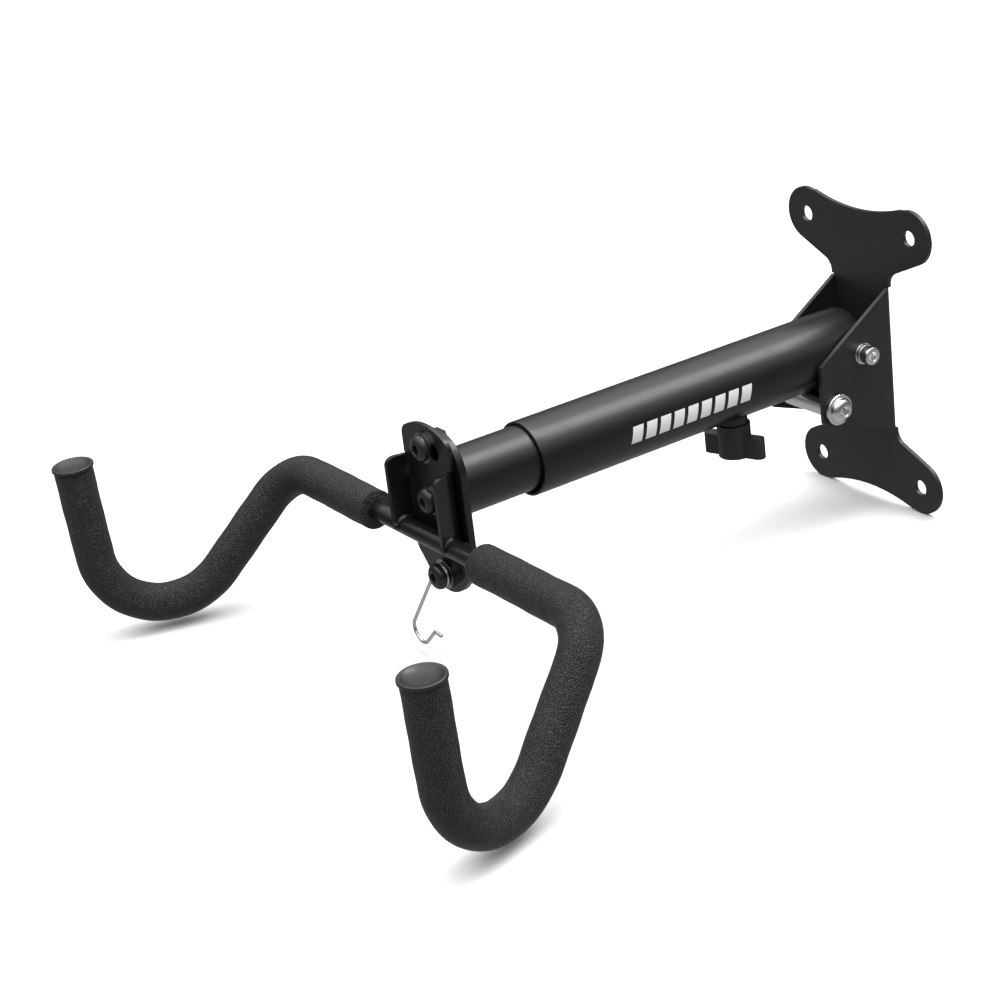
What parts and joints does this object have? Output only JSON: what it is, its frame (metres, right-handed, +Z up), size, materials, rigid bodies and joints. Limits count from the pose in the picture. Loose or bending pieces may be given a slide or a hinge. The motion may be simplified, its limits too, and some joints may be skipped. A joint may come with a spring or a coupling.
{
  "type": "bicycle wall rack",
  "caption": "Folding, extendable wall rack with a tilting cradle of two foam-covered hooks that holds a bicycle by its top tube.",
  "frame": {"origin": "centre of the four wall holes, on the back face of the wall bracket", "axes": "+Y points into the wall, so the arm points along -Y; +Z is up; +X is across, towards the side with the bolt heads"},
  "size_m": [0.3708, 0.4213, 0.177],
  "materials": {
    "black_steel": "satin black powder coat on steel",
    "zinc": "bright zinc plated steel",
    "bright_steel": "bright plated steel",
    "bare_steel": "turned steel",
    "brass": "plain brass",
    "black_plastic": "fine matt moulded plastic",
    "black_oxide": "black oxide on steel, semi gloss",
    "foam": "closed-cell foam with a fine grained skin",
    "cap_plastic": "soft moulded plastic",
    "bright_wire": "bright plated wire"
  },
  "bodies": {
    "bracket": {"wall_bracket": "black_steel", "pivot_bolt": "zinc", "pivot_washers": "zinc", "pivot_nut": "zinc", "support_bolt": "zinc", "support_sleeve": "bright_steel", "support_washers": "zinc", "support_nut": "zinc"},
    "outer_arm": {"outer_tube": "black_steel", "pivot_sleeve": "bare_steel", "clamp_boss": "black_steel"},
    "clamp_slide": {"clamp_pad": "brass"},
    "knob": {"clamp_stud": "zinc", "clamp_knob": "black_plastic"},
    "inner_arm": {"inner_tube": "black_steel", "head_plate": "black_steel", "head_weld": "black_steel", "slot_bolt": "black_oxide", "tilt_bolt": "black_oxide", "hook_bolt": "black_oxide", "head_washers": "black_oxide", "head_nuts": "black_oxide"},
    "cradle": {"cradle_bracket": "black_steel", "hook_rod": "black_steel", "cradle_welds": "black_steel", "left_foam_sleeve": "foam", "right_foam_sleeve": "foam", "left_end_cap": "cap_plastic", "right_end_cap": "cap_plastic"},
    "small_hook": {"wire_hook": "bright_wire"}
  },
  "joints": [
    {"name": "arm_fold", "type": "hinge", "parent": "bracket", "child": "outer_arm", "pos_m": [0, -0.024, 0.01], "axis": [-1, 0, 0], "range_deg": [0, 84]},
    {"name": "arm_extend", "type": "slide", "parent": "outer_arm", "child": "inner_arm", "axis": [0, -1, 0], "range_m": [-0.014, 0.04]},
    {"name": "cradle_tilt", "type": "hinge", "parent": "inner_arm", "child": "cradle", "pos_m": [0, -0.2945, 0.0063], "axis": [0, 1, 0], "range_deg": [-15, 15]},
    {"name": "small_hook_swing", "type": "hinge", "parent": "inner_arm", "child": "small_hook", "pos_m": [0, -0.2951, -0.0356], "axis": [0, 1, 0], "range_deg": [-60, 20]},
    {"name": "clamp_travel", "type": "slide", "parent": "outer_arm", "child": "clamp_slide", "axis": [0, 0, -1], "range_m": [0, 0.0019]},
    {"name": "knob_turn", "type": "hinge", "parent": "clamp_slide", "child": "knob", "pos_m": [0, -0.099, -0.02], "axis": [0, 0, -1], "range_deg": [0, 540]}
  ],
  "couplings": [
    {"joint": "clamp_travel", "follows": "knob_turn", "m_per_rad": 0.00019894}
  ]
}
